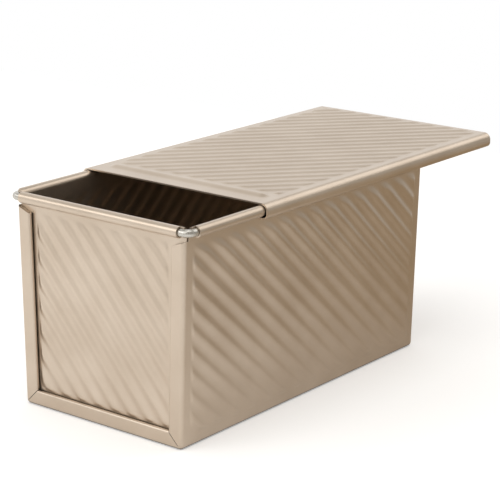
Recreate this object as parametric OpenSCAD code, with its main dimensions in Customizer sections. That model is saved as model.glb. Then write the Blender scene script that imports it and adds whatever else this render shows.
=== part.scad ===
// Pullman loaf pan with a sliding lid.
// A ribbed sheet is bent into a trough, two ribbed end panels are seamed into its ends,
// a wire ring is rolled into the rim, and a ribbed lid runs along the rim's long sides.
// Origin at the middle of the base, +X towards the end that the lid slides off, +Z up.

/* [Pan] */
// Length of the pan over the frames at its two ends
pan_l = 204; // [150:1:320]
// Width of the pan across its base
pan_w = 105; // [80:1:160]
// Height of the rim wire's middle above the base
rim_h = 110; // [60:1:140]
// Outward lean of the two long sides, in degrees
side_lean = 1.4; // [0:0.1:4]
// Thickness of the pan's sheet
pan_t = 0.8; // [0.5:0.05:1]

/* [Rim] */
// Diameter of the wire inside the rim
wire_d = 4; // [3:0.1:5]
// Clearance between the wire and the sheet rolled round it
wire_gap = 0.1; // [0.05:0.01:0.15]
// Distance of each roll's cut end from the point where the wire turns the corner
roll_end = 5.5; // [4:0.5:10]
// Space between the roll's inner edge and the wall that it is rolled from
roll_tail_gap = 0.3; // [0.1:0.1:0.8]

/* [End seams] */
// Width of the folded frame round each end
frame_w = 8.5; // [6:0.5:12]
// Space between the folded layers of the seam
seam_gap = 0.05; // [0.02:0.01:0.1]
// Space between the edge of an end panel and the trough
fold_gap = 0.1; // [0.05:0.01:0.3]
// Space between the rim's roll and the top of the frame
frame_top_gap = 1.6; // [1:0.1:4]
// Fall of the frame's slanted top, from its outer to its inner edge
frame_top_fall = 3.5; // [0:0.5:6]
// Width of the open mitres at the frame's lower corners
mitre_gap = 0.3; // [0.1:0.05:0.6]
// Length of the notch cut from an end panel's folded edge at each lower corner
fold_notch = 9; // [6:0.5:14]

/* [Ribs] */
// Distance from one rib to the next, square across them
rib_pitch = 8.5; // [6:0.5:14]
// Width of the flat sheet between two ribs
rib_flat = 2.3; // [1:0.1:3]
// Height of a rib
rib_h = 0.7; // [0.3:0.1:1]
// Slope of the ribs to the length of the pan, in degrees
rib_slope = 41; // [25:1:65]
// Distance of the first rib's middle from the middle of a wall or of the lid
rib_first = 1; // [0:0.1:6]
// Length over which the ends of the ribs run out into the flat sheet
rib_runout = 1.5; // [1:0.5:4]
// Length over which the ribs run out towards the rim
rib_rim_runout = 6; // [1:0.5:8]
// Flat margin between the ribs and the bends of the trough
rib_margin = 4; // [3:0.5:10]
// Flat margin between the ribs and the rim's roll
rib_rim_margin = 3; // [2:0.5:15]
// Flat margin between the ribs of an end panel and its frame
rib_frame_margin = 0.5; // [0.5:0.5:4]

/* [Lid] */
// Thickness of the lid's sheet
lid_t = 0.8; // [0.5:0.05:1]
// Clearance between the lid and the top of the rim
lid_lift = 0.3; // [0.2:0.1:0.8]
// Clearance between the lid's channels and the sides of the rim
lid_side_gap = 0.5; // [0.3:0.1:1.5]
// Clearance between the rim and the lips that run under it
lip_gap = 0.5; // [0.3:0.1:1]
// Clearance between the edge of each lip and the pan's side
lip_wall_gap = 0.8; // [0.4:0.1:1.5]
// Inner radius of the bend between each channel's side and its lip
lip_bend = 2.2; // [1:0.1:2.5]
// Overhang of the lid's plain end past the rim when it is shut
lid_overhang = 2; // [0:0.5:10]
// Flat margin between the lid's ribs and its sides
lid_rib_margin = 7; // [6:0.5:15]
// Distance that the lid is drawn open along the rim
lid_open = 60; // [0:1:200]

/* [Lid ends] */
// Distance of the stiffening bead's middle from the lid's plain end
bead_at = 12.5; // [8:0.5:16]
// Width of the bead
bead_w = 9; // [4:0.5:12]
// Height of the bead
bead_h = 1.2; // [0.5:0.1:2]
// Distance between each end of the bead and the lid's side
bead_inset = 9; // [6:0.5:20]
// Flat margin between the ribs and the bead, and between the ribs and the stop flange's bend
bead_margin = 2; // [1:0.5:6]
// Depth of the stop flange below the lid's top
stop_depth = 6; // [4:0.5:9]
// Clearance between the stop flange and the rim when the lid is shut
stop_gap = 0.3; // [0.2:0.1:1]
// Outer radius of the stop flange's bend
stop_bend = 1.6; // [1.2:0.1:3]
// Distance between each end of the stop flange and the lid's side
stop_inset = 12; // [8:0.5:30]

/* [Hidden] */
$fn = 64;

coating = "#CDBFA9";
bright_steel = "#C9CBCC";

// Rim: the sheet's inner face is the roll's outer face
roll_ri = wire_d / 2 + wire_gap;
roll_ro = roll_ri + pan_t;
roll_tail = acos(-(roll_ro - pan_t - roll_tail_gap) / roll_ro);
// Near a corner the roll is cut back to its inner curl, which ends at this angle
inner_curl = 100;

// Seam: three layers of sheet folded over the outer face of the end panel
fold_ro = (3 * pan_t + 2 * seam_gap) / 2;
fold_ri = fold_ro - pan_t;
bend_r = pan_t + fold_gap + fold_ro;
bend_ri = bend_r - pan_t;
panel_inset = 2 * fold_ro + seam_gap;
mitre_tan = tan(45 - side_lean / 2);
bend_foot = bend_r * mitre_tan;
bend_y = pan_w / 2 - bend_foot;

// Short flat that is drawn past a bend, into the sheet that it joins
leg = 1;
// Largest angle between two points of the wide outline round a bend's arc
bend_step = 60;
// Angle by which the hollow of a bend is cut beyond its ends
bend_past = 10;
// Sheet that is drawn into another is this much thinner at each face, and laps over by the next two
bend_thinning = 0.01;
bend_lap = 0.05;
corner_lap = 0.1;

// Wall: distances are measured up its slope, from the line where it would meet the table
roll_up = (rim_h + (roll_ro - pan_t) * sin(side_lean)) / cos(side_lean);
frame_top = roll_up - roll_ro - frame_top_gap;
frame_top_z = frame_top * cos(side_lean);
roll_y = pan_w / 2 + (roll_ro - pan_t) * cos(side_lean) + roll_up * sin(side_lean);
roll_x = pan_l / 2 - panel_inset - pan_t + roll_ro;
wire_turn = roll_ro + fold_gap;
side_len = pan_l - 2 * bend_r;
cavity_l = pan_l - 2 * (panel_inset + pan_t);

// Ribs: low round segments of sheet
rib_w = rib_pitch - rib_flat;
rib_foot = pan_t / 2;

// Lid: a channel along each long side, round the roll
lid_z = rim_h + roll_ro + lid_lift;
channel_y = roll_y + roll_ro + lid_side_gap;
channel_r = roll_ro + lid_lift;
lip_z = rim_h - roll_ro - lip_gap;
lip_y = pan_w / 2 + lip_z * tan(side_lean) + lip_wall_gap;
lid_near = -roll_x - roll_ro - lid_overhang;
lid_far = roll_x + roll_ro + stop_gap + lid_t;
lid_len = lid_far - lid_near;
lid_half_w = channel_y + lid_t;

function segment_r(width, height) = (width * width / 4 + height * height) / (2 * height);

// A sheet's section is a list of bends, [x, y, inner radius, from, to], joined by flat sheet.
// Where from equals to, the sheet starts or ends at that angle from the bend's middle.
function steps(from, to) = ceil(abs(to - from) / bend_step);
function spread(from, to) = let (n = steps(from, to))
    n == 0 ? [from] : [for (k = [0:n]) from + (to - from) * k / n];

// One side of the sheet at a bend: its true radius where the flats start, and less depth between
function bend_side(b, past, middle) = let (n = steps(b[3], b[4]), angles = spread(b[3], b[4]))
    [for (k = [0:n]) let (r = b[2] + (k == 0 || k == n ? past : (past + middle) / 2))
        [b[0] + r * cos(angles[k]), b[1] + r * sin(angles[k])]];

module bend_sector(b, r, beyond) {
    turn = sign(b[4] - b[3]) * beyond;
    if (b[3] != b[4]) translate([b[0], b[1]]) intersection() {
        circle(r);
        polygon(concat([[0, 0]],
            [for (a = spread(b[3] - turn, b[4] + turn)) 2 * r * [cos(a), sin(a)]]));
    }
}

// The flats and the bends can each be drawn thinner by an inset from both faces
module sheet_section(bends, thickness, flat_inset = 0, bend_inset = 0) {
    near = flat_inset;
    far = thickness - flat_inset;
    middle = thickness / 2;
    left = [for (b = bends) each bend_side(b, b[4] < b[3] ? far : near, middle)];
    right = [for (b = bends) each bend_side(b, b[4] < b[3] ? near : far, middle)];
    difference() {
        union() {
            polygon(concat(left, [for (k = [len(right) - 1:-1:0]) right[k]]));
            for (b = bends) bend_sector(b, b[2] + thickness - bend_inset, 0);
        }
        for (b = bends) bend_sector(b, b[2] + bend_inset, bend_inset > flat_inset ? bend_past : 0);
    }
}

// Places its children along the pan, from a section drawn in the YZ plane
module along_x(length) {
    rotate([90, 0, 90]) linear_extrude(length, center = true) children();
}

// Section of a round low ridge, with its foot below the face that it stands on
module ridge_section(width, height, foot) {
    r = segment_r(width, height);
    intersection() {
        translate([0, height - r]) circle(r);
        translate([-width, -foot]) square([2 * width, height + foot + 1]);
    }
}

// Block with a rectangular foot whose four sides slope in: three at the usual run-out
module runout_block(size_u, size_v, height, foot, last_runout) {
    usual = rib_runout / height;
    module slice(half, last) {
        polygon([
            [-half - foot * usual, -foot],
            [half + foot * last, -foot],
            [half - (height + foot) * last, height + foot],
            [-half + (height + foot) * usual, height + foot]
        ]);
    }
    intersection() {
        rotate([90, 0, 0]) linear_extrude(2 * size_v, center = true) slice(size_u / 2, usual);
        rotate([90, 0, 90]) linear_extrude(2 * size_u, center = true)
            slice(size_v / 2, last_runout / height);
    }
}

// Field of parallel ribs on the XY plane, falling from left to right as seen from above
module rib_field(size_u, size_v, slope, first = rib_first, last_runout = rib_runout) {
    across = size_u * sin(slope) + size_v * cos(slope);
    rows = ceil(across / rib_pitch / 2);
    intersection() {
        rotate([0, 0, -slope]) rotate([90, 0, 90])
            linear_extrude(size_u + size_v, center = true)
                for (k = [-rows:rows]) translate([first + k * rib_pitch, 0])
                    ridge_section(rib_w, rib_h, rib_foot);
        runout_block(size_u, size_v, rib_h, rib_foot, last_runout);
    }
}

// Frame of the long side at -Y: X along the pan, Y up the wall, Z out of its outer face
module on_side() {
    translate([0, -pan_w / 2, 0]) rotate([90 + side_lean, 0, 0]) children();
}

// Sheet that rises to the rim from a foot, and is rolled outwards round the wire to an angle
module rim_section(foot, rise, to) {
    sheet_section([
        [roll_ro - pan_t, rise, roll_ri, to, 180],
        [roll_ro - pan_t, foot, roll_ri, 180, 180]
    ], pan_t);
}

// Section of the trough: roll, wall, bend, floor, bend, wall and roll
module trough_section() {
    sheet_section([
        [-roll_y, rim_h, roll_ri, 180 + roll_tail + side_lean, side_lean],
        [-bend_y, bend_r, bend_ri, side_lean - 180, -90],
        [bend_y, bend_r, bend_ri, -90, -side_lean],
        [roll_y, rim_h, roll_ri, 180 - side_lean, -roll_tail - side_lean]
    ], pan_t, 0, bend_thinning);
}

// What is cut from the roll on a long side beyond its ends: all but the inner curl
module roll_cut(start) {
    reach = 2 * roll_ro;
    inner = roll_ri - roll_tail_gap / 2;
    for (m = [0, 1]) mirror([0, m, 0]) translate([start + reach / 2, roll_y, rim_h]) along_x(reach)
        rotate(-side_lean) polygon([
            [0, 0], [reach * cos(inner_curl), reach * sin(inner_curl)],
            [reach, reach], [reach, -reach], [-inner, -reach], [-inner, 0]
        ]);
}

// Trough's layer of the seam: s runs inwards from the wall, w outwards from the frame's face
module seam_outer() {
    sheet_section([
        [bend_r + 4 * seam_gap, -fold_ro, fold_ri, -90, -90],
        [frame_w - fold_ro, -fold_ro, fold_ri, -90, 90],
        [bend_r, -bend_r, bend_ri, 90, 180],
        [bend_r, -bend_r - leg, bend_ri, 180, 180]
    ], pan_t, bend_thinning, bend_thinning);
}

// End panel's layer of the seam, hooked round the trough's folded edge
module seam_inner() {
    w = -pan_t - seam_gap - fold_ro;
    sheet_section([
        [frame_w - fold_ro - 2 * seam_gap, w, fold_ri, 90, 90],
        [bend_r, w, fold_ri, 90, 270],
        [bend_r + leg, w, fold_ri, 270, 270]
    ], pan_t, bend_thinning, bend_thinning);
}

// Places its children up the -Y corner of the near end, with a section drawn in s and w
module up_corner() {
    translate([-pan_l / 2, -pan_w / 2, 0]) rotate([side_lean, 0, 0]) rotate([0, 0, 90]) children();
}

// Cuts a strip of the seam that stands up the corner to an area drawn in s and height
module strip_area(points) {
    intersection() {
        linear_extrude(frame_top + frame_top_fall) children();
        rotate([90, 0, 0]) linear_extrude(4 * bend_r + 2 * leg, center = true) polygon(points);
    }
}

// Height of the frame's slanted top at a distance inwards from the wall
function slant(s) = frame_top - s * frame_top_fall / frame_w;

module frame_side() {
    past = frame_w + leg;
    open = mitre_gap / 2 / cos(45 - side_lean / 2);
    up_corner() strip_area([
        [-leg, bend_foot],
        [bend_r, bend_foot],
        [bend_r, bend_foot + open],
        [past, past * mitre_tan + open],
        [past, slant(past)],
        [-leg, slant(-leg)]
    ]) seam_outer();
}

module frame_bottom() {
    past = frame_w + leg;
    open = mitre_gap / 2 / cos(45 - side_lean / 2);
    inner = pan_w / 2 - past * mitre_tan - open;
    translate([-pan_l / 2, 0, 0]) intersection() {
        rotate([90, -90, 0]) linear_extrude(pan_w, center = true) seam_outer();
        along_x(4 * bend_r + 2 * leg) polygon([
            [-bend_y, -leg], [bend_y, -leg], [bend_y, bend_r], [bend_y - open, bend_r],
            [inner, past], [-inner, past], [-bend_y + open, bend_r], [-bend_y, bend_r]
        ]);
    }
}

// Rounded lower corner, where the trough's bend meets the two folds of the frame
module frame_corner() {
    reach = 2 * bend_r;
    translate([-pan_l / 2 + bend_r, -bend_y, bend_r]) intersection() {
        difference() {
            sphere(bend_r - 2 * bend_thinning);
            sphere(bend_ri + 2 * bend_thinning);
        }
        translate([(corner_lap - reach) / 2, 0, 0]) along_x(reach + corner_lap) polygon([
            [corner_lap, corner_lap],
            [corner_lap, -reach],
            [-reach, -reach],
            [-reach, corner_lap - reach * tan(side_lean)]
        ]);
    }
}

module near_frame() {
    frame_bottom();
    for (m = [0, 1]) mirror([0, m, 0]) {
        frame_side();
        frame_corner();
    }
}

// Repeats its children at the other end, or on the other side, turned about the pan's middle
module both_ends() {
    for (a = [0, 180]) rotate([0, 0, a]) children();
}

side_rib_v = roll_up - roll_ro - rib_rim_margin - bend_foot - rib_margin;
side_rib_u = side_len - 2 * rib_margin;

module side_ribs(depth) {
    on_side() translate([0, bend_foot + rib_margin + side_rib_v / 2, -depth])
        rib_field(side_rib_u, side_rib_v, rib_slope, last_runout = rib_rim_runout);
}

// Ribs of the floor stand up into the pan, so that its flat margin rests on the table,
// as does the flat strip between the two ribs at its middle
module floor_ribs() {
    mirror([0, 1, 0]) rib_field(cavity_l - 2 * rib_margin, 2 * (bend_y - rib_margin),
        rib_slope, first = rib_pitch / 2);
}

module pan_body() color(coating) difference() {
    union() {
        difference() {
            along_x(side_len + 2 * bend_lap) trough_section();
            both_ends() {
                roll_cut(roll_x - roll_end);
                translate([cavity_l / 2, -pan_w, frame_top_z]) cube([pan_w, 2 * pan_w, pan_w]);
            }
        }
        both_ends() {
            near_frame();
            side_ribs(0);
        }
        translate([0, 0, pan_t]) floor_ribs();
    }
    both_ends() side_ribs(pan_t);
    floor_ribs();
}

// Near end panel, with its plane at the end of the cavity
panel_rib_u = pan_w - 2 * (frame_w + rib_frame_margin);
panel_rib_v = rim_h - roll_ro - rib_rim_margin - frame_w - rib_frame_margin;

module panel_ribs(depth) {
    translate([-pan_l / 2 + panel_inset + depth, 0, frame_w + rib_frame_margin + panel_rib_v / 2])
        rotate([90, 0, -90])
            rib_field(panel_rib_u, panel_rib_v, 90 - rib_slope, last_runout = rib_rim_runout);
}

// Outline of the flat sheet, just into its folds at three sides and up to the roll
module panel_outline() {
    top_half = pan_w / 2 + frame_top * tan(side_lean) - bend_r / cos(side_lean) + bend_lap;
    polygon([
        [-bend_y - bend_lap, bend_r - bend_lap], [bend_y + bend_lap, bend_r - bend_lap],
        [top_half, frame_top], [-top_half, frame_top]
    ]);
}

module panel_folds() {
    for (m = [0, 1]) mirror([0, m, 0]) up_corner() strip_area([
        [-leg, bend_foot + fold_notch], [frame_w, bend_foot + fold_notch],
        [frame_w, slant(frame_w)], [-leg, slant(-leg)]
    ]) seam_inner();
    translate([-pan_l / 2, 0, 0]) rotate([90, -90, 0])
        linear_extrude(2 * (bend_y - fold_notch), center = true) seam_inner();
}

// Rim of the end panel, over half of its width to each side
module panel_rim(half, to) {
    translate([-roll_x + roll_ro - pan_t, 0, 0]) rotate([90, 0, 0])
        linear_extrude(2 * half, center = true) mirror([1, 0])
            rim_section(frame_top - leg, rim_h, to);
}

module end_panel() color(coating) difference() {
    union() {
        translate([-pan_l / 2 + panel_inset + pan_t / 2, 0, 0]) along_x(pan_t) panel_outline();
        panel_folds();
        panel_rim(roll_y - wire_turn, inner_curl);
        panel_rim(roll_y - roll_end, -roll_tail);
        panel_ribs(0);
    }
    panel_ribs(pan_t);
}

module near_end_panel() end_panel();

module far_end_panel() rotate([0, 0, 180]) end_panel();

// Ring of steel wire that fills the rim and shows at the four corners
module rim_wire() color(bright_steel) translate([0, 0, rim_h]) {
    straight_x = 2 * (roll_x - wire_turn);
    straight_y = 2 * (roll_y - wire_turn);
    both_ends() {
        translate([0, roll_y, 0]) rotate([0, 90, 0]) cylinder(h = straight_x, d = wire_d, center = true);
        translate([roll_x, 0, 0]) rotate([90, 0, 0]) cylinder(h = straight_y, d = wire_d, center = true);
        for (m = [0, 1]) mirror([0, m, 0]) translate([straight_x / 2, straight_y / 2, 0])
            rotate_extrude(angle = 90) translate([wire_turn, 0]) circle(d = wire_d);
    }
}

// Lid's section: lip, rounded side, top, rounded side and lip
module lid_section() {
    top_y = channel_y - channel_r;
    turn_y = channel_y - lip_bend;
    turn_z = lip_z + lip_bend - lid_z;
    sheet_section([
        [lip_y, turn_z, lip_bend, -90, -90],
        [turn_y, turn_z, lip_bend, -90, 0],
        [top_y, -channel_r, channel_r, 0, 90],
        [-top_y, -channel_r, channel_r, 90, 180],
        [-turn_y, turn_z, lip_bend, 180, 270],
        [-lip_y, turn_z, lip_bend, 270, 270]
    ], lid_t);
}

// Stop flange that meets the rim when the lid is shut
module stop_flange() {
    inner = stop_bend - lid_t;
    translate([lid_far, 0, 0]) rotate([90, 0, 0])
        linear_extrude(2 * (lid_half_w - stop_inset), center = true) sheet_section([
            [-stop_bend, lid_t - stop_depth, inner, 0, 0],
            [-stop_bend, -inner, inner, 0, 90],
            [-stop_bend - leg, -inner, inner, 90, 90]
        ], lid_t);
}

lid_rib_near = bead_at + bead_w / 2 + bead_margin;
lid_rib_u = lid_len - lid_rib_near - stop_bend - bead_margin;

module lid_ribs() {
    translate([lid_near + lid_rib_near + lid_rib_u / 2, 0, lid_t])
        rib_field(lid_rib_u, 2 * (lid_half_w - lid_rib_margin), rib_slope);
    translate([lid_near + bead_at, 0, lid_t]) intersection() {
        rotate([90, 0, 0]) linear_extrude(2 * lid_half_w, center = true)
            ridge_section(bead_w, bead_h, lid_t / 2);
        runout_block(2 * bead_w, 2 * (lid_half_w - bead_inset), bead_h, lid_t / 2, rib_runout);
    }
}

module sliding_lid() color(coating) translate([lid_open, 0, lid_z]) difference() {
    union() {
        translate([(lid_near + lid_far - stop_bend) / 2, 0, 0])
            along_x(lid_len - stop_bend) lid_section();
        stop_flange();
        lid_ribs();
    }
    translate([0, 0, -lid_t]) lid_ribs();
}

pan_body();
near_end_panel();
far_end_panel();
rim_wire();
sliding_lid();
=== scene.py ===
import math

import bpy
from mathutils import Matrix, Vector


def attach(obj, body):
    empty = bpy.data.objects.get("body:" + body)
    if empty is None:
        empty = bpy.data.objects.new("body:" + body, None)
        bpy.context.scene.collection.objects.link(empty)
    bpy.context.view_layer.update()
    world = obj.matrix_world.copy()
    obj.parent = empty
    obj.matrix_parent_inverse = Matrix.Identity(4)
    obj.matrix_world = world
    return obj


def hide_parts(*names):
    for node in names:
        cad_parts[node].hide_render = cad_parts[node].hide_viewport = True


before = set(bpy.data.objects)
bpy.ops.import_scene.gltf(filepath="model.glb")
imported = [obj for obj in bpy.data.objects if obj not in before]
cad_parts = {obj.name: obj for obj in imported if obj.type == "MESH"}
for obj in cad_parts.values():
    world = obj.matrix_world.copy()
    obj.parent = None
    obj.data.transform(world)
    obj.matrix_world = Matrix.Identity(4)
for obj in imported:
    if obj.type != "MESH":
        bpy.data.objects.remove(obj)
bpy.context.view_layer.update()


def colour(code):
    """An sRGB hex value as the linear colour that Blender reads."""
    parts = [int(code[i:i + 2], 16) / 255 for i in (1, 3, 5)]
    return [p / 12.92 if p <= 0.04045 else ((p + 0.055) / 1.055) ** 2.4 for p in parts] + [1.0]


def add(tree, kind, links=(), **settings):
    """Adds a node. A setting names a property, an input, or an input's number after a low line.
    A link is (input, node, output)."""
    made = tree.nodes.new(kind)
    for key, value in settings.items():
        if key.startswith("_"):
            made.inputs[int(key[1:])].default_value = value
        elif hasattr(made, key):
            setattr(made, key, value)
        else:
            made.inputs[key.replace("_", " ")].default_value = value
    for socket, source, output in links:
        tree.links.new(source.outputs[output], made.inputs[socket])
    return made


def new_material(name):
    material = bpy.data.materials.new(name)
    material.use_nodes = True
    material.node_tree.nodes.clear()
    return material, material.node_tree


def finish_material(tree, shader):
    add(tree, "ShaderNodeOutputMaterial", [("Surface", shader, 0)])


# ---------------------------------------------------------------- camera

# The photograph's camera: 132 mm on a 36 mm frame, about 1.03 m away, turned 0.4 degrees
lens = bpy.data.cameras.new("camera")
lens.lens = 132.0
lens.sensor_width = 36.0
lens.clip_start = 0.05
camera = bpy.data.objects.new("camera", lens)
bpy.context.scene.collection.objects.link(camera)
azimuth, elevation, roll = (math.radians(angle) for angle in (-52.07, 16.09, 0.43))
distance = 1.0302
aim = Vector((0.0464, 0.0216, 0.055))
back = Vector((
    math.sin(azimuth) * math.cos(elevation), -math.cos(azimuth) * math.cos(elevation), math.sin(elevation)
))
turn = (-back).to_track_quat("-Z", "Y").to_matrix().to_4x4() @ Matrix.Rotation(roll, 4, "Z")
camera.matrix_world = Matrix.Translation(aim + back * distance) @ turn
bpy.context.scene.camera = camera


# ---------------------------------------------------------------- materials

# Depth in metres over which narrow gaps are painted dark as painted shade, and how finely it is sampled
CREVICE, CREVICE_SAMPLES = 0.003, 12


def champagne_coating():
    """Carbon steel with a baked champagne non-stick coating: a satin metallic film, so the folds and
    ribs show as soft broad highlights, with a very fine grain and a slightly uneven sheen.
    The film's grain is a few hundredths of a millimetre. It is drawn at 0.4 mm, so that it shows.
    Its sheen drifts over about 25 mm. Gaps at the seams and the cut ends are painted dark, as painted shade
    in the crevices."""
    material, tree = new_material("champagne_coating")
    place = add(tree, "ShaderNodeTexCoord")
    grain = add(tree, "ShaderNodeTexNoise", [("Vector", place, "Object")], Scale=2600.0, Detail=3.0)
    cloud = add(tree, "ShaderNodeTexNoise", [("Vector", place, "Object")], Scale=38.0, Detail=4.0)
    tone = add(tree, "ShaderNodeValToRGB", [("Fac", cloud, "Fac")])
    darker, lighter = tone.color_ramp.elements
    darker.position, darker.color = 0.3, colour("#C9B9A7")
    lighter.position, lighter.color = 0.7, colour("#D3C4B3")
    sheen = add(tree, "ShaderNodeMapRange", [("Value", cloud, "Fac")], To_Min=0.27, To_Max=0.34)
    bump = add(tree, "ShaderNodeBump", [("Height", grain, "Fac")], Strength=0.12, Distance=0.0001)
    # Painted shade: where ambient occlusion finds a gap or crevice, the colour is mixed towards #3A2E22
    depth = add(tree, "ShaderNodeAmbientOcclusion", Distance=CREVICE, samples=CREVICE_SAMPLES)
    painted_shade_mask = add(tree, "ShaderNodeMapRange", [("Value", depth, "AO")], From_Min=0.1, From_Max=0.62)
    film = add(tree, "ShaderNodeMixRGB", [
        ("Fac", painted_shade_mask, "Result"), ("Color2", tone, "Color")
    ], Color1=colour("#3A2E22"))
    shader = add(tree, "ShaderNodeBsdfPrincipled", [
        ("Base Color", film, "Color"), ("Roughness", sheen, "Result"), ("Normal", bump, "Normal")
    ], Metallic=0.88)
    finish_material(tree, shader)
    return material


def bright_wire():
    """Zinc-plated drawn steel wire: bright and smooth, with a slightly uneven shine.
    Its drawing marks are finer than a render shows, and are drawn as patches of about 1 mm."""
    material, tree = new_material("bright_wire")
    place = add(tree, "ShaderNodeTexCoord")
    patches = add(tree, "ShaderNodeTexNoise", [("Vector", place, "Object")], Scale=900.0, Detail=2.0)
    sheen = add(tree, "ShaderNodeMapRange", [("Value", patches, "Fac")], To_Min=0.2, To_Max=0.32)
    bump = add(tree, "ShaderNodeBump", [("Height", patches, "Fac")], Strength=0.05, Distance=0.0001)
    # Painted shade: where ambient occlusion finds a gap, the wire's colour is mixed towards #1E1A16
    depth = add(tree, "ShaderNodeAmbientOcclusion", Distance=CREVICE, samples=CREVICE_SAMPLES)
    painted_shade_mask = add(tree, "ShaderNodeMapRange", [("Value", depth, "AO")], From_Min=0.3, From_Max=0.85)
    wire_with_painted_shade = add(tree, "ShaderNodeMixRGB", [
        ("Fac", painted_shade_mask, "Result")
    ], Color1=colour("#1E1A16"), Color2=colour("#C6C3BC"))
    shader = add(tree, "ShaderNodeBsdfPrincipled", [
        ("Base Color", wire_with_painted_shade, "Color"), ("Roughness", sheen, "Result"), ("Normal", bump, "Normal")
    ], Metallic=1.0)
    finish_material(tree, shader)
    return material


coating = champagne_coating()
wire_steel = bright_wire()


# ---------------------------------------------------------------- pressed sheet

# Sizes of the pressings, in metres, and their angles
SHEET = 0.0008
PITCH, RIB_HEIGHT, RIB_FOOT = 0.0085, 0.0007, 0.0079
RIB_SLOPE = math.radians(41)
FIRST_RIB = 0.001
RUNOUT, RIM_RUNOUT = 0.0022, 0.007
BEAD_HEIGHT, BEAD_FOOT = 0.0012, 0.0094
LEAN = math.radians(1.4)

# Size of a pressed sheet's faces along and across its ribs, and the extra cuts near its edges
RIB_CELL, RIB_CUTS = (0.002, 0.00095), (0.0007, 0.0015)
BEAD_CELL = (0.0006, 0.0012)

# Width of the flat ring that joins a pressed sheet to its piece, and what counts as in its plane
RING, IN_PLANE = 0.0002, 5e-5

# Heights between which both faces of a sheet lie, and a reach that takes in the whole of them
LOWEST, HIGHEST = -2.2 * SHEET, 2 * SHEET
WHOLE_FACE = 1.0

SIDES = ((1, 0), (-1, 0), (0, 1), (0, -1))


def wave(distance, height, foot):
    """Height of a pressed rib at a distance from its middle."""
    return height * math.cos(math.pi * distance / foot) ** 2 if abs(distance) < foot / 2 else 0.0


def ease(distance, length):
    """How far a rib has risen at a distance from the edge of its field."""
    t = min(1.0, max(0.0, distance / length))
    return t * t * (3 - 2 * t)


def ribs(half_u, half_v, slope, first=FIRST_RIB, last_runout=RUNOUT):
    """Height of a field of ribs at a point, with its ends run out. One rib runs at the distance
    first from the field's middle, and the last run-out is at +v."""
    def rise(u, v):
        across = u * math.sin(slope) + v * math.cos(slope) - first
        nearest = (across + PITCH / 2) % PITCH - PITCH / 2
        ends = ease(half_u - abs(u), RUNOUT) * ease(half_v + v, RUNOUT) * ease(half_v - v, last_runout)
        return wave(nearest, RIB_HEIGHT, RIB_FOOT) * ends
    return rise


def bead(half_u, half_v):
    """Height of one rounded bead along v, which ends as a round nose."""
    straight = half_v - half_u

    def rise(u, v):
        return wave(math.hypot(u, max(0.0, abs(v) - straight)), BEAD_HEIGHT, BEAD_FOOT)
    return rise


def select_only(obj):
    bpy.ops.object.select_all(action="DESELECT")
    bpy.context.view_layer.objects.active = obj
    obj.select_set(True)


def select_faces(piece, test):
    """Leaves the piece in edit mode with the faces selected that pass a test of middle and normal."""
    bpy.ops.object.mode_set(mode="EDIT")
    bpy.ops.mesh.select_mode(type="FACE")
    bpy.ops.mesh.select_all(action="DESELECT")
    bpy.ops.object.mode_set(mode="OBJECT")
    for face in piece.data.polygons:
        face.select = test(face.center, face.normal)
    bpy.ops.object.mode_set(mode="EDIT")


def pressed_sheet(half_u, half_v, rise, slope, cell, edges):
    """A flat sheet whose rows lie along the ribs, trimmed to its field and pressed to height.
    It is cut once more at each distance in edges, so that the run-outs have rows of their own."""
    reach_u = 2 * (half_u * abs(math.cos(slope)) + half_v * abs(math.sin(slope)))
    reach_v = 2 * (half_u * abs(math.sin(slope)) + half_v * abs(math.cos(slope)))
    bpy.ops.object.select_all(action="DESELECT")
    bpy.ops.mesh.primitive_grid_add(
        x_subdivisions=math.ceil(reach_u / cell[0]), y_subdivisions=math.ceil(reach_v / cell[1]), size=1
    )
    sheet = bpy.context.active_object
    sheet.scale, sheet.rotation_euler = (reach_u, reach_v, 1), (0, 0, -slope)
    bpy.ops.object.transform_apply(location=False, rotation=True, scale=True)
    bpy.ops.object.mode_set(mode="EDIT")
    for x, y in SIDES:
        for inward in (0.0, *edges):
            bpy.ops.mesh.select_all(action="SELECT")
            bpy.ops.mesh.bisect(
                plane_co=(x * (half_u - inward), y * (half_v - inward), 0),
                plane_no=(x, y, 0), clear_outer=inward == 0
            )
    bpy.ops.object.mode_set(mode="OBJECT")
    for vertex in sheet.data.vertices:
        vertex.co.z = rise(vertex.co.x, vertex.co.y)
    return sheet


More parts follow.
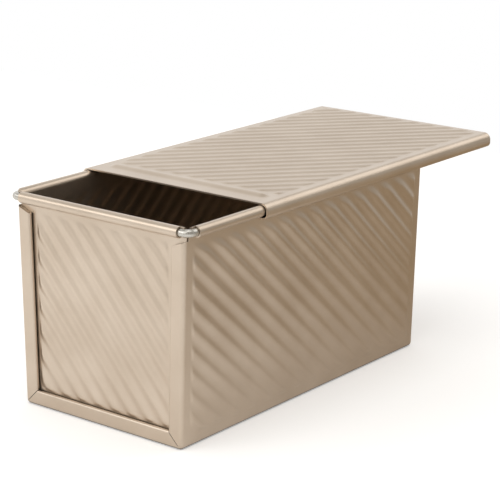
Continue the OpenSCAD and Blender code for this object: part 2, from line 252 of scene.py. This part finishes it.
def press(piece, place, half_u, half_v, rise, slope=0.0, cell=RIB_CELL, edges=RIB_CUTS):
    """Cuts a flat field out of both faces of a piece's sheet, and sets the pressed sheet in its place."""
    back, turned = place.inverted(), place.to_3x3()
    wide, high = half_u + RING, half_v + RING

    def in_field(middle, spare):
        p = back @ middle
        return abs(p.x) < wide + spare and abs(p.y) < high + spare and LOWEST < p.z < HIGHEST

    # The flat is cut along the field's four sides, and its faces inside them go
    select_only(piece)
    for x, y in SIDES:
        select_faces(piece, lambda middle, normal: in_field(middle, WHOLE_FACE))
        bpy.ops.mesh.bisect(
            plane_co=place @ Vector((x * wide, y * high, 0)), plane_no=turned @ Vector((x, y, 0))
        )
        bpy.ops.object.mode_set(mode="OBJECT")
    select_faces(piece, lambda middle, normal: in_field(middle, 0.0))
    bpy.ops.mesh.delete(type="FACE")
    bpy.ops.object.mode_set(mode="OBJECT")

    # A pressed sheet goes into each face, and the ring round it is filled with its normals outward
    for depth, side in ((0.0, 1), (-SHEET, -1)):
        sheet = pressed_sheet(half_u, half_v, rise, slope, cell, edges)
        sheet.data.transform(place @ Matrix.Translation((0, 0, depth)))
        sheet.data.materials.append(piece.data.materials[0])
        if side < 0:
            sheet.data.flip_normals()
        select_only(piece)
        sheet.select_set(True)
        bpy.ops.object.join()
        bpy.ops.object.mode_set(mode="EDIT")
        bpy.ops.mesh.select_mode(type="EDGE")
        bpy.ops.mesh.select_all(action="DESELECT")
        bpy.ops.mesh.select_non_manifold(
            extend=False, use_wire=False, use_boundary=True, use_multi_face=False,
            use_non_contiguous=False, use_verts=False
        )
        bpy.ops.object.mode_set(mode="OBJECT")
        corners = [back @ vertex.co for vertex in piece.data.vertices]
        for edge in piece.data.edges:
            if edge.select:
                edge.select = all(abs(corners[k].z - depth) < IN_PLANE for k in edge.vertices)
        bpy.ops.object.mode_set(mode="EDIT")
        bpy.ops.mesh.fill(use_beauty=True)
        bpy.ops.object.mode_set(mode="OBJECT")
        outward = turned @ Vector((0, 0, side))
        select_faces(piece, lambda middle, normal: (
            abs((back @ middle).z - depth) < IN_PLANE and in_field(middle, 0.0) and normal.dot(outward) < -0.5
        ))
        bpy.ops.mesh.flip_normals()
        bpy.ops.object.mode_set(mode="OBJECT")


def on_face(origin, across, outward):
    """Frame of a sheet's face: x across it, y up it and z out of it."""
    across, outward = Vector(across), Vector(outward)
    return Matrix.Translation(origin) @ Matrix((across, outward.cross(across), outward)).transposed().to_4x4()


# ---------------------------------------------------------------- pieces

def cad_copy(name, node, body, material):
    """A merged copy of a CAD node, which stands for the node."""
    piece = bpy.data.objects.new(name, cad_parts[node].data.copy())
    bpy.context.scene.collection.objects.link(piece)
    select_only(piece)
    bpy.ops.object.mode_set(mode="EDIT")
    bpy.ops.mesh.select_all(action="SELECT")
    bpy.ops.mesh.remove_doubles(threshold=1e-6)
    bpy.ops.object.mode_set(mode="OBJECT")
    piece.data.materials.clear()
    piece.data.materials.append(material)
    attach(piece, body)
    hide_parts(node)
    return piece


def smooth(piece, angle):
    """Smooth bends, with the flats between them left flat."""
    select_only(piece)
    bpy.ops.object.shade_smooth_by_angle(angle=math.radians(angle))
    flats = piece.modifiers.new("flats", "WEIGHTED_NORMAL")
    flats.keep_sharp = True
    flats.weight = 80
    bpy.ops.object.modifier_apply(modifier=flats.name)


# Largest turn between two facets of a bend in sheet, and of the wire, in degrees
SHEET_BEND, WIRE_BEND = 22, 40

# Half sizes of the ribbed fields, in metres, as in the solids
WALL, FLOOR, END, LID = (0.09585, 0.049043), (0.09465, 0.046402), (0.0435, 0.04755), (0.0947, 0.054489)

# Half size of the bead, which ends half a millimetre further out than in the solids
BEAD = (BEAD_FOOT / 2, 0.053)

# Half the floor's width, and how far up the slope of a wall the middle of its ribs is
FLOOR_EDGE, WALL_MIDDLE = 0.0525, 0.055141

# Height of the lid's top, and where along it the middles of its ribs and of its bead are at rest
LID_TOP, LID_RIBS_X, BEAD_X = 0.114, 0.06725, -0.03395

half_turn = Matrix.Rotation(math.pi, 4, "Z")

# The walls lean out from the floor's edges
trough = cad_copy("trough", "pan_body", "pan", coating)
up_wall = Vector((0, -math.sin(LEAN), math.cos(LEAN)))
wall = on_face(
    Vector((0, -FLOOR_EDGE, 0)) + up_wall * WALL_MIDDLE, (1, 0, 0), (0, -math.cos(LEAN), -math.sin(LEAN))
)
wall_ribs = ribs(*WALL, RIB_SLOPE, last_runout=RIM_RUNOUT)
for place in (wall, half_turn @ wall):
    press(trough, place, *WALL, wall_ribs, RIB_SLOPE)

# The floor's ribs slope the other way, and stand up into the pan
inside_floor = on_face((0, 0, SHEET), (1, 0, 0), (0, 0, 1))
floor_slope = math.pi - RIB_SLOPE
press(trough, inside_floor, *FLOOR, ribs(*FLOOR, floor_slope, first=PITCH / 2), floor_slope)
smooth(trough, SHEET_BEND)

# The end panels are upright, and stand a seam's depth in from the ends
end = on_face((-0.09945, 0, 0.05655), (0, -1, 0), (-1, 0, 0))
end_slope = math.pi / 2 - RIB_SLOPE
end_ribs = ribs(*END, end_slope, last_runout=RIM_RUNOUT)
for name, node, place in (("near_end", "near_end_panel", end), ("far_end", "far_end_panel", half_turn @ end)):
    panel = cad_copy(name, node, "pan", coating)
    press(panel, place, *END, end_ribs, end_slope)
    smooth(panel, SHEET_BEND)

smooth(cad_copy("rim_ring", "rim_wire", "pan", wire_steel), WIRE_BEND)

lid = cad_copy("lid", "sliding_lid", "lid", coating)
press(lid, on_face((LID_RIBS_X, 0, LID_TOP), (1, 0, 0), (0, 0, 1)), *LID, ribs(*LID, RIB_SLOPE), RIB_SLOPE)
press(
    lid, on_face((BEAD_X, 0, LID_TOP), (1, 0, 0), (0, 0, 1)), *BEAD, bead(*BEAD), cell=BEAD_CELL, edges=()
)
smooth(lid, SHEET_BEND)


# ---------------------------------------------------------------- floor, light and background

def paper():
    """White background paper: it shows white to the camera and keeps the pan's shadow.
    The pan is lit from the left. At the pan's right the paper's colour is painted dimmer and warmer for
    reflections and bounced light: painted shade that darkens the pan's long side."""
    material, tree = new_material("white_paper")
    white, painted_shade_colour = colour("#F9F9F9"), colour("#A29179")
    path = add(tree, "ShaderNodeLightPath")
    place = add(tree, "ShaderNodeTexCoord")
    axes = add(tree, "ShaderNodeSeparateXYZ", [(0, place, "Object")])
    # Painted shade: for every ray but the camera's, the paper's colour darkens towards #A29179 at the right
    right = add(tree, "ShaderNodeMapRange", [("Value", axes, "X")], From_Min=-0.16, From_Max=0.22)
    floor_with_painted_shade = add(tree, "ShaderNodeMixRGB", [("Fac", right, "Result")], Color1=white, Color2=painted_shade_colour)
    tone = add(tree, "ShaderNodeMixRGB", [
        ("Fac", path, "Is Camera Ray"), ("Color1", floor_with_painted_shade, "Color")
    ], Color2=white)
    shader = add(tree, "ShaderNodeBsdfDiffuse", [("Color", tone, "Color")])

    # A faint glow, seen by the camera and in reflections only, hides the paper's edges
    seen = add(tree, "ShaderNodeMath", [
        (0, path, "Is Camera Ray"), (1, path, "Is Glossy Ray")
    ], operation="MAXIMUM")
    level = add(tree, "ShaderNodeMapRange", [("Value", path, "Is Camera Ray")], To_Min=0.2, To_Max=0.29)
    lit = add(tree, "ShaderNodeMath", [(0, level, "Result"), (1, seen, 0)], operation="MULTIPLY")
    glow = add(tree, "ShaderNodeEmission", [("Color", tone, "Color"), ("Strength", lit, 0)])
    finish_material(tree, add(tree, "ShaderNodeAddShader", [(0, shader, 0), (1, glow, 0)]))
    return material


bpy.ops.object.select_all(action="DESELECT")
bpy.ops.mesh.primitive_plane_add(size=2.0, location=(0, 0, 0))
floor = bpy.context.active_object
floor.name = "floor"
floor.scale, floor.location = (0.55, 0.8, 1), (0, 0.38, 0)
bpy.ops.object.transform_apply(location=True, rotation=False, scale=True)
floor.data.materials.append(paper())


def softbox(name, spot, target, width, height, power):
    """A soft rectangular lamp, in metres and watts, that faces its target."""
    light = bpy.data.lights.new(name, "AREA")
    light.shape = "RECTANGLE"
    light.size, light.size_y, light.energy = width, height, power
    lamp = bpy.data.objects.new(name, light)
    bpy.context.scene.collection.objects.link(lamp)
    spot, target = Vector(spot), Vector(target)
    facing = (target - spot).to_track_quat("-Z", "Y").to_matrix().to_4x4()
    lamp.matrix_world = Matrix.Translation(spot) @ facing


# A large key at the left and one overhead, a low card that fills the end's ribs, a strip behind
# the left that lights the near roll, and a weak fill at the right
softbox("key", (-1.6, 0.32, 1.4), (0, 0, 0.06), 2.2, 1.7, 12)
softbox("top", (0.0, -0.2, 2.2), (0, 0, 0.06), 1.6, 1.6, 9)
softbox("card", (-1.5, 0.35, 0.24), (-0.1, 0, 0.08), 1.2, 0.45, 1.2)
softbox("strip", (-0.95, 0.86, 0.78), (-0.1, 0, 0.09), 1.1, 0.5, 2.0)
softbox("right", (1.3, -0.5, 1.15), (0, 0, 0.1), 1.3, 1.0, 4)

world = bpy.data.worlds.new("studio")
bpy.context.scene.world = world
world.use_nodes = True
world.node_tree.nodes.clear()

# A white background behind the pan, and a dim room overhead and at the other sides
sky = world.node_tree
ray = add(sky, "ShaderNodeLightPath")
place = add(sky, "ShaderNodeTexCoord")
behind = add(sky, "ShaderNodeVectorMath", [
    (0, place, "Generated")
], operation="DOT_PRODUCT", _1=(0.35, 0.8, -0.42))
level = add(sky, "ShaderNodeMapRange", [("Value", behind, "Value")], From_Min=0.05, From_Max=0.45)
seen = add(sky, "ShaderNodeMath", [(0, level, "Result"), (1, ray, "Is Camera Ray")], operation="MAXIMUM")
tint = add(sky, "ShaderNodeMixRGB", [("Fac", seen, 0)], Color1=colour("#B6B2AC"), Color2=colour("#FFFFFF"))
glow = add(sky, "ShaderNodeBackground", [("Color", tint, "Color")], Strength=1.0)
add(sky, "ShaderNodeOutputWorld", [("Surface", glow, 0)])

bpy.context.scene.view_settings.view_transform = "Standard"
